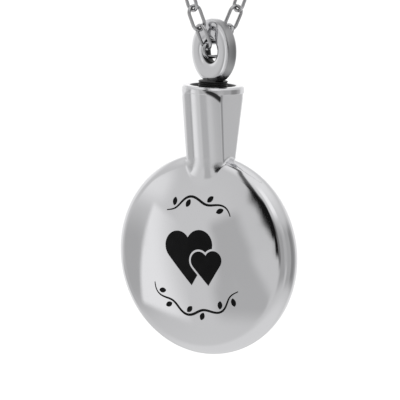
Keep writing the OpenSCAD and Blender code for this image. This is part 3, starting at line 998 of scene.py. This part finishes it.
@dataclass
class Chain:
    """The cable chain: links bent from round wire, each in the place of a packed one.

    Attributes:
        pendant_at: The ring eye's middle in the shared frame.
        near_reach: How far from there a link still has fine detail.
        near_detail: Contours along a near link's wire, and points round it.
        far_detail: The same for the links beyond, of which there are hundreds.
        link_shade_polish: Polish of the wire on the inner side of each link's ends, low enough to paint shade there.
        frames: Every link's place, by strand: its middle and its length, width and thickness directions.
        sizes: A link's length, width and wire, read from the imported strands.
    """

    pendant_at: np.ndarray
    near_reach: float = 17.0
    near_detail: tuple[int, int] = (56, 18)
    far_detail: tuple[int, int] = (12, 5)
    link_shade_polish: float = 0.12
    frames: dict[Strand, np.ndarray] = field(default_factory=dict)
    sizes: tuple[float, float, float] = (0.0, 0.0, 0.0)

    def __post_init__(self) -> None:
        """Reads every link's place and the links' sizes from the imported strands."""
        measured = []
        for strand in Strand:
            places, spans = self.measure(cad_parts[strand.value])
            self.frames[strand] = places
            measured.append(spans)
        self.sizes = tuple(np.median(np.concatenate(measured), axis=0))
        LOG.info("link %.2f x %.2f mm, wire %.2f mm", *self.sizes)

    @staticmethod
    def measure(node: bpy.types.Object) -> tuple[np.ndarray, np.ndarray]:
        """Finds the links in a strand's mesh.

        Triangles that share a corner are one link: every corner takes the least number among its triangles'
        corners until nothing changes. Of a link's principal directions the longest is its length, the next its
        width.

        Args:
            node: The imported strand.

        Returns:
            Frames as links by 4 by 3: middle, length, width and thickness directions; and extents, links by 3.
        """
        points, faces = mesh_corners(node)
        label = np.arange(len(points))
        while True:
            least = label[faces].min(axis=1)
            new = label.copy()
            np.minimum.at(new, faces.ravel(), np.repeat(least, 3))
            new = new[new]
            if (new == label).all():
                break
            label = new
        names, group = np.unique(label[faces[:, 0]], return_inverse=True)
        places, spans = [], []
        for i in range(len(names)):
            corner = points[faces[group == i]]
            middle, axes = surface_axes(corner)
            places.append(np.concatenate([middle[None], axes]))
            spans.append(np.ptp((corner.reshape(-1, 3) - middle) @ axes.T, axis=0))
        return np.array(places), np.array(spans)

    def bend(self) -> tuple[float, float]:
        """Radius of the wire's middle line at a link's ends, and half the length of its straight sides."""
        length, width, wire = self.sizes
        return (width - wire) / 2, (length - width) / 2

    def link(self, along: int, around: int) -> np.ndarray:
        """Works out the contours of one link about its own middle.

        The wire's middle line is a stadium: two straight sides along X and two half circles, with points evenly
        spaced along it. The wire's section is a circle in the plane of the line's outward normal and Z.

        Args:
            along: Number of contours along the wire.
            around: Number of points round the wire.

        Returns:
            Contours, along by around by 3.
        """
        end_r, half = self.bend()
        arc = math.pi * end_r
        s = (np.arange(along) / along * (2 * arc + 4 * half)) % (2 * arc + 4 * half)
        on_right = s < arc
        on_top = (s >= arc) & (s < arc + 2 * half)
        on_left = (s >= arc + 2 * half) & (s < 2 * arc + 2 * half)
        angle = np.select([on_right, on_top, on_left], [s / end_r - math.pi / 2, math.pi / 2,
                                                        (s - 2 * half) / end_r - math.pi / 2], 1.5 * math.pi)
        middle = np.select([on_right, on_top, on_left], [half, half - (s - arc), -half],
                           -half + (s - 2 * arc - 2 * half))
        out = np.stack([np.cos(angle), np.sin(angle), 0 * angle], axis=-1)
        line = np.stack([middle, 0 * middle, 0 * middle], axis=-1) + end_r * out
        v = full_turn(around)[None, :, None]
        section = np.cos(v) * out[:, None] + np.sin(v) * np.array([0, 0, 1.0])
        return line[:, None] + self.sizes[2] / 2 * section

    def shaded_ends(self, rings: np.ndarray) -> np.ndarray:
        """Works out the painted shade where the next link sits: on the inner side of both ends.

        Args:
            rings: A link's contours about its own middle.

        Returns:
            Polish, rows by columns: link_shade_polish there, and 1 elsewhere.
        """
        end_r, half = self.bend()
        out = np.abs(rings[..., 0]) - half
        inner = ramp(end_r - np.hypot(out, rings[..., 1]), 0, self.sizes[2] / 4)
        return 1 - (1 - self.link_shade_polish) * inner * ramp(out, 0, 0.4 * end_r)

    def laid(self, places: np.ndarray, along: int, around: int) -> Surface:
        """Lays copies of the link at many places.

        A copy's point is the place's middle plus the link's x, y and z along the place's three directions.

        Args:
            places: Links' frames, as measured.
            along: Number of contours along the wire.
            around: Number of points round the wire.

        Returns:
            All the copies as one surface.
        """
        rings = self.link(along, around)
        # Painted shade darkens the inner side of each link's ends, where the next link passes.
        pattern = loft(rings, ring_closed=True, polish_and_shade=self.shaded_ends(rings))
        axes = places[:, 1:].copy()
        axes[:, 2] *= np.sign(np.linalg.det(axes))[:, None]
        points = places[:, None, 0] + np.einsum("pk,lkc->lpc", pattern.points, axes)
        step = (np.arange(len(places)) * len(pattern.points))[:, None, None]
        quads = (pattern.quads[None] + step).reshape(-1, 4)
        polish_and_shade = np.tile(pattern.polish_and_shade, len(places))
        return Surface(points.reshape(-1, 3), quads, np.zeros((0, 3), int), polish_and_shade)

    def build(self, finish: bpy.types.Material) -> list[bpy.types.Object]:
        """Makes the near links in fine detail and each strand's far links with few faces.

        Args:
            finish: The chain's material.

        Returns:
            The two strands, and the links by the pendant.
        """
        made, near = [], []
        for strand, places in self.frames.items():
            close = np.linalg.norm(places[:, 0] - self.pendant_at, axis=1) < self.near_reach
            near.append(places[close])
            made.append(piece(f"{strand.value}_links", self.laid(places[~close], *self.far_detail), finish,
                              Body.CHAIN, [strand.value]))
        made.append(piece("pendant_links", self.laid(np.concatenate(near), *self.near_detail), finish, Body.CHAIN))
        return made


@dataclass
class Clasp:
    """The barrel clasp at the nape: a turned barrel with grooves, and a ring on a post at each end.

    Attributes:
        length: Length of the barrel.
        radius: Its radius.
        shoulder: Radius of its shoulders.
        wire: Thickness of the rings' wire.
        ring_r: Radius of the wire's middle line.
        post_r: Radius of the posts.
        groove_deep: Depth of the barrel's grooves.
        groove_wide: Half their width, where they are about a third as deep.
        grooves: Their places along the barrel, from its middle.
    """

    length: float = 7.0
    radius: float = 1.3
    shoulder: float = 0.65
    wire: float = 0.5
    ring_r: float = 1.06
    post_r: float = 0.42
    groove_deep: float = 0.09
    groove_wide: float = 0.1
    grooves: tuple[float, ...] = (-2.5, -2.15, 0.0, 2.15, 2.5)

    def barrel(self, reach: float) -> Surface:
        """Works out barrel and posts as one turned form about Z.

        The radius along the barrel is radius - deep * sum(exp(-((z - groove) / wide) ** 2)), and each shoulder is a
        quarter circle.

        Args:
            reach: Height at which the posts end, inside the rings' wire.

        Returns:
            The form, about the clasp's middle.
        """
        end, r = self.length / 2, self.radius - 0.01
        z = np.linspace(self.shoulder - end, end - self.shoulder, 121)
        dips = sum(np.exp(-(((z - g) / self.groove_wide) ** 2)) for g in self.grooves)
        body = np.stack([r - self.groove_deep * dips, z], axis=-1)
        turned = arc_points((r - self.shoulder, end - self.shoulder), self.shoulder - 0.01, 0, 86, 10)[1:]
        post = np.array([[self.post_r + 0.06, end], [self.post_r, end + 0.08], [self.post_r, reach]])
        top = np.concatenate([turned, post])
        return loft(lathe(np.concatenate([(top * (1, -1))[::-1], body, top]), full_turn(48)))

    def ring(self, normal: np.ndarray, axis: np.ndarray) -> Surface:
        """Works out an end ring: a circle of wire carried along a circle.

        Args:
            normal: The direction that the ring lies square to.
            axis: The barrel's direction.

        Returns:
            The ring, about the origin.
        """
        side = np.cross(normal, axis)
        side /= np.linalg.norm(side)
        u, v = full_turn(64)[:, None, None], full_turn(16)[None, :, None]
        out = np.cos(u) * side + np.sin(u) * np.cross(normal, side)
        return loft(out * (self.ring_r + self.wire / 2 * np.cos(v)) + normal * self.wire / 2 * np.sin(v),
                    ring_closed=True)

    def build(self, finish: bpy.types.Material) -> bpy.types.Object:
        """Makes the clasp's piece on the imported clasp's axis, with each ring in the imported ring's plane.

        Args:
            finish: The clasp's material.

        Returns:
            The piece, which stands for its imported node.
        """
        points, faces = mesh_corners(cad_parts["clasp"])
        corners = points[faces]
        middle, axes = surface_axes(corners)
        axis = axes[0]
        along = (points - middle) @ axis
        middle = middle + axis * (along.max() + along.min()) / 2
        reach = np.ptp(along) / 2
        ring_at = reach - self.wire / 2 - self.ring_r
        parts = []
        for way in (axis, -axis):
            far = corners[((corners - middle) @ way).min(axis=1) > ring_at]
            parts.append(self.ring(surface_axes(far)[1][2], axis).moved(way * ring_at))
        base = np.stack([axes[1], np.cross(axis, axes[1]), axis])
        barrel = self.barrel(ring_at - self.ring_r)
        parts.append(replace(barrel, points=barrel.points @ base))
        return piece("barrel_clasp", joined(parts).moved(middle), finish, Body.CHAIN, ["clasp"])


@dataclass
class Studio:
    """Camera, floor, light and surroundings.

    Attributes:
        target: The vessel's centre, in metres in the shared frame.
        azimuth: The camera's turn from the front, in degrees, towards the wearer's left.
        elevation: The camera's height above the horizon, in degrees.
        roll: The camera's tilt, in degrees, that makes the pendant lean to the right.
        distance: Camera to vessel, in metres.
        lens: Focal length, in millimetres.
        sensor: Width of the sensor, in millimetres.
        across: How far the picture's middle lies left of the vessel's centre, in metres.
        above: How far the picture's middle lies above the vessel's centre, in metres.
        floor_z: Height of the floor, in metres.
        room_r: Radius of the floor and of the room, in metres.
        wall_light: Brightness of the room's wall.
        low_wall: The tent's lower light: the elevations between which it goes, and its brightness at each.
        high_wall: The same for what is added higher up.
    """

    target: np.ndarray
    azimuth: float = 31.0
    elevation: float = 7.7
    roll: float = 1.7
    distance: float = 0.4
    lens: float = 330.8
    sensor: float = 36.0
    across: float = 0.00086
    above: float = 0.005876
    floor_z: float = -0.36
    room_r: float = 12.0
    wall_light: float = 1.15
    low_wall: tuple[float, float, float, float] = (-55, -25, 0.88, 0.72)
    high_wall: tuple[float, float, float, float] = (25, 65, 0, 0.28)

    def camera(self) -> None:
        """Makes the camera at the photograph's viewing angle, tilted as the photograph is."""
        a, e, t = (math.radians(x) for x in (self.azimuth, self.elevation, self.roll))
        back = Vector((math.sin(a) * math.cos(e), -math.cos(a) * math.cos(e), math.sin(e)))
        level = Vector((math.cos(a), math.sin(a), 0))
        upright = back.cross(level)
        right = level * math.cos(t) + upright * math.sin(t)
        up = upright * math.cos(t) - level * math.sin(t)
        eye = Vector(self.target) - right * self.across + up * self.above + back * self.distance
        lens = bpy.data.cameras.new("camera")
        lens.lens, lens.sensor_width = self.lens, self.sensor
        lens.clip_start, lens.clip_end = 0.01, 100.0
        made = placed("camera", lens)
        made.matrix_world = Matrix.Translation(eye) @ Matrix((right, up, back)).transposed().to_4x4()
        bpy.context.scene.camera = made

    def set_piece(self, name: str, surface: Surface, finish: bpy.types.Material) -> None:
        """Makes a part of the set, which light and camera meet but reflections don't.

        Args:
            name: Its name.
            surface: Its skin, in metres.
            finish: Its material.
        """
        made = skinned(name, surface, 1.0, finish)
        made.visible_glossy = False

    def floor(self) -> None:
        """Makes the pale floor, a wide and very thin round slab well below the pendant."""
        slab = np.array([[self.room_r, self.floor_z - 0.01], [self.room_r, self.floor_z]])
        self.set_piece("floor", loft(lathe(slab, full_turn(64))), PaleFloor().material())

    def room(self) -> None:
        """Makes the pale round room behind the floor: a sphere whose wall gives the set its even light."""
        made, g = blank_material("pale_wall")
        wall = g.add("ShaderNodeEmission", {"Color": (1, 1, 1, 1), "Strength": self.wall_light})
        g.add("ShaderNodeOutputMaterial", {"Surface": wall.outputs[0]})
        ball = arc_points((0, 0), self.room_r, -89, 89, 48)
        self.set_piece("room", loft(lathe(ball, full_turn(64))), made)

    def surroundings(self) -> None:
        """Makes the light tent that the metal mirrors: pale walls with brighter and darker cards, by direction."""
        world = bpy.data.worlds.new("tent")
        bpy.context.scene.world = world
        world.use_nodes = True
        g = Graph(world.node_tree)
        way = g.add("ShaderNodeTexCoord").outputs["Generated"]
        part = g.add("ShaderNodeSeparateXYZ", {0: way})
        ahead = g.math("MULTIPLY", part.outputs["Y"], -1.0)
        turn = g.math("MULTIPLY", g.math("ARCTAN2", part.outputs["X"], ahead), 180 / math.pi)
        rise = g.math("MULTIPLY", g.math("ARCSINE", part.outputs["Z"]), 180 / math.pi)
        total = g.math("ADD", g.span(rise, *self.low_wall), g.span(rise, *self.high_wall))
        for card in TENT:
            total = card.over(g, turn, rise, total)
        light = g.add("ShaderNodeBackground", {"Color": total})
        g.add("ShaderNodeOutputWorld", {"Surface": light.outputs[0]})

    def build(self) -> None:
        """Sets the whole studio up."""
        self.camera()
        self.floor()
        self.room()
        self.surroundings()
        bpy.context.scene.view_settings.view_transform = "Standard"


@dataclass(frozen=True)
class Card:
    """A soft-edged card in the light tent, given by directions from the object, in degrees.

    Attributes:
        turn: Azimuth of its middle, from the front towards the wearer's left.
        rise: Elevation of its middle.
        wide: Half its width.
        high: Half its height.
        soft: Half the width of its soft edge.
        light: Its brightness.
        tilt: Its lean, in degrees.
    """

    turn: float
    rise: float
    wide: float
    high: float
    soft: float
    light: float
    tilt: float = 0.0

    def over(self, g: Graph, turn: bpy.types.NodeSocket, rise: bpy.types.NodeSocket,
             behind: bpy.types.NodeSocket) -> bpy.types.NodeSocket:
        """Lays the card over what is behind it.

        Args:
            g: The world's node tree.
            turn: Azimuth of the direction.
            rise: Elevation of the direction.
            behind: Brightness behind the card.

        Returns:
            The brightness behind + (light - behind) * inside, where inside falls from 1 to 0 over the soft edge.
        """
        c, s = math.cos(math.radians(self.tilt)), math.sin(math.radians(self.tilt))
        across = g.math("WRAP", g.math("SUBTRACT", turn, self.turn), 180.0, -180.0)
        up = g.math("SUBTRACT", rise, self.rise)
        a = g.math("ABSOLUTE", g.math("MULTIPLY_ADD", across, c, g.math("MULTIPLY", up, s)))
        e = g.math("ABSOLUTE", g.math("MULTIPLY_ADD", up, c, g.math("MULTIPLY", across, -s)))
        inside = g.math("MULTIPLY", g.span(a, self.wide - self.soft, self.wide + self.soft, 1, 0),
                        g.span(e, self.high - self.soft, self.high + self.soft, 1, 0))
        return g.math("MULTIPLY_ADD", g.math("SUBTRACT", self.light, behind), inside, behind)


# Each card's turn, rise, half width, half height, soft edge and light, and its tilt where it leans. A later card
# lies over the ones before it.
TENT = tuple(Card(*row) for row in (
    # The walls behind the pendant.
    (-130, 4, 40, 20, 12, 1.12),
    (-104, -4, 14, 22, 6, 0.98),
    (172, -5, 20, 30, 10, 0.92),
    (141, -4, 9, 22, 6, 0.5),
    # The left side: shade, and a pale panel with a crisp edge.
    (-61, -12, 9, 12, 6, 0.52),
    (-80, -20, 12, 7, 3, 0.58),
    (-52, 11, 8, 5, 4, 0.98),
    (-44, -12, 11.2, 14.6, 1.2, 1.05, -17),
    # The front: the soft bands across the disc.
    (-29, -10, 13, 24, 8, 0.76, 8),
    (-13, -8, 6, 15, 2.5, 0.55, 28),
    (-18, -12, 4, 10, 2.5, 0.55),
    (-12, -22, 12, 6, 4, 0.56),
    (14, -21, 13, 7, 5, 0.74),
    (0, -11, 5, 8, 3, 0.74, 28),
    # The right side.
    (36, -2, 20, 20, 8, 0.46),
    (60, 4, 12, 14, 6, 0.57),
    (84, -1, 15, 26, 7, 0.5),
    (117, -1, 17, 24, 8, 0.32),
    # Above.
    (44, 44, 16, 14, 6, 1.15, 15),
    (0, 50, 7, 26, 4, 0.14),
    (-42, 76, 50, 6, 4, 0.16),
    # The dark gap between the walls, which the disc's right side mirrors.
    (15, 4, 6, 13, 4, 0.22),
    (9, 23, 6, 7, 3, 0.12),
    (-1, 31, 6, 6, 3, 0.07),
    (-4.5, 20, 6, 8, 2, 0.03),
    (4.5, 15, 8.5, 10, 2, 0.01),
    (-0.6, 11.4, 6, 10, 1.5, 0.01, 35),
    (6, 0.5, 4.5, 6, 2, 0.01),
))


def centre_of_vessel() -> tuple[np.ndarray, float, float, float]:
    """Reads the vessel's place and main sizes from the frame, in millimetres.

    Returns:
        The disc's centre in the shared frame, the disc's radius, the mouth's height above the centre and the
        mouth's radius.
    """
    low, high = (np.array(c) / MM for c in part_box("urn_body"))
    radius = (high[0] - low[0]) / 2
    centre = np.array([(low[0] + high[0]) / 2, (low[1] + high[1]) / 2, low[2] + radius])
    return centre, float(radius), float(high[2] - centre[2]), float((high[1] - low[1]) / 2)


def main() -> None:
    """Builds the studio and every piece, in order."""
    logging.basicConfig(level=logging.INFO, format="%(name)s: %(message)s")
    centre, disc_r, neck_top, top_r = centre_of_vessel()
    Studio(target=centre * MM).build()
    steel = PolishedSteel().material()
    chain_steel = PolishedSteel(name="chain_steel", tint=(0.5, 0.5, 0.51), dullest=0.14, clearest=0.07).material()
    enamel = BlackEnamel().material()
    vessel = Vessel(centre, disc_r, neck_top, top_r)
    vessel.build(steel)
    stopper = Stopper(centre, neck_top, vessel.seat_z)
    stopper.build(steel)
    Chain(centre + np.array([0, 0, stopper.eye_z])).build(chain_steel)
    Clasp().build(chain_steel)
    Fillings().dress(enamel)


if __name__ == "__main__":
    main()
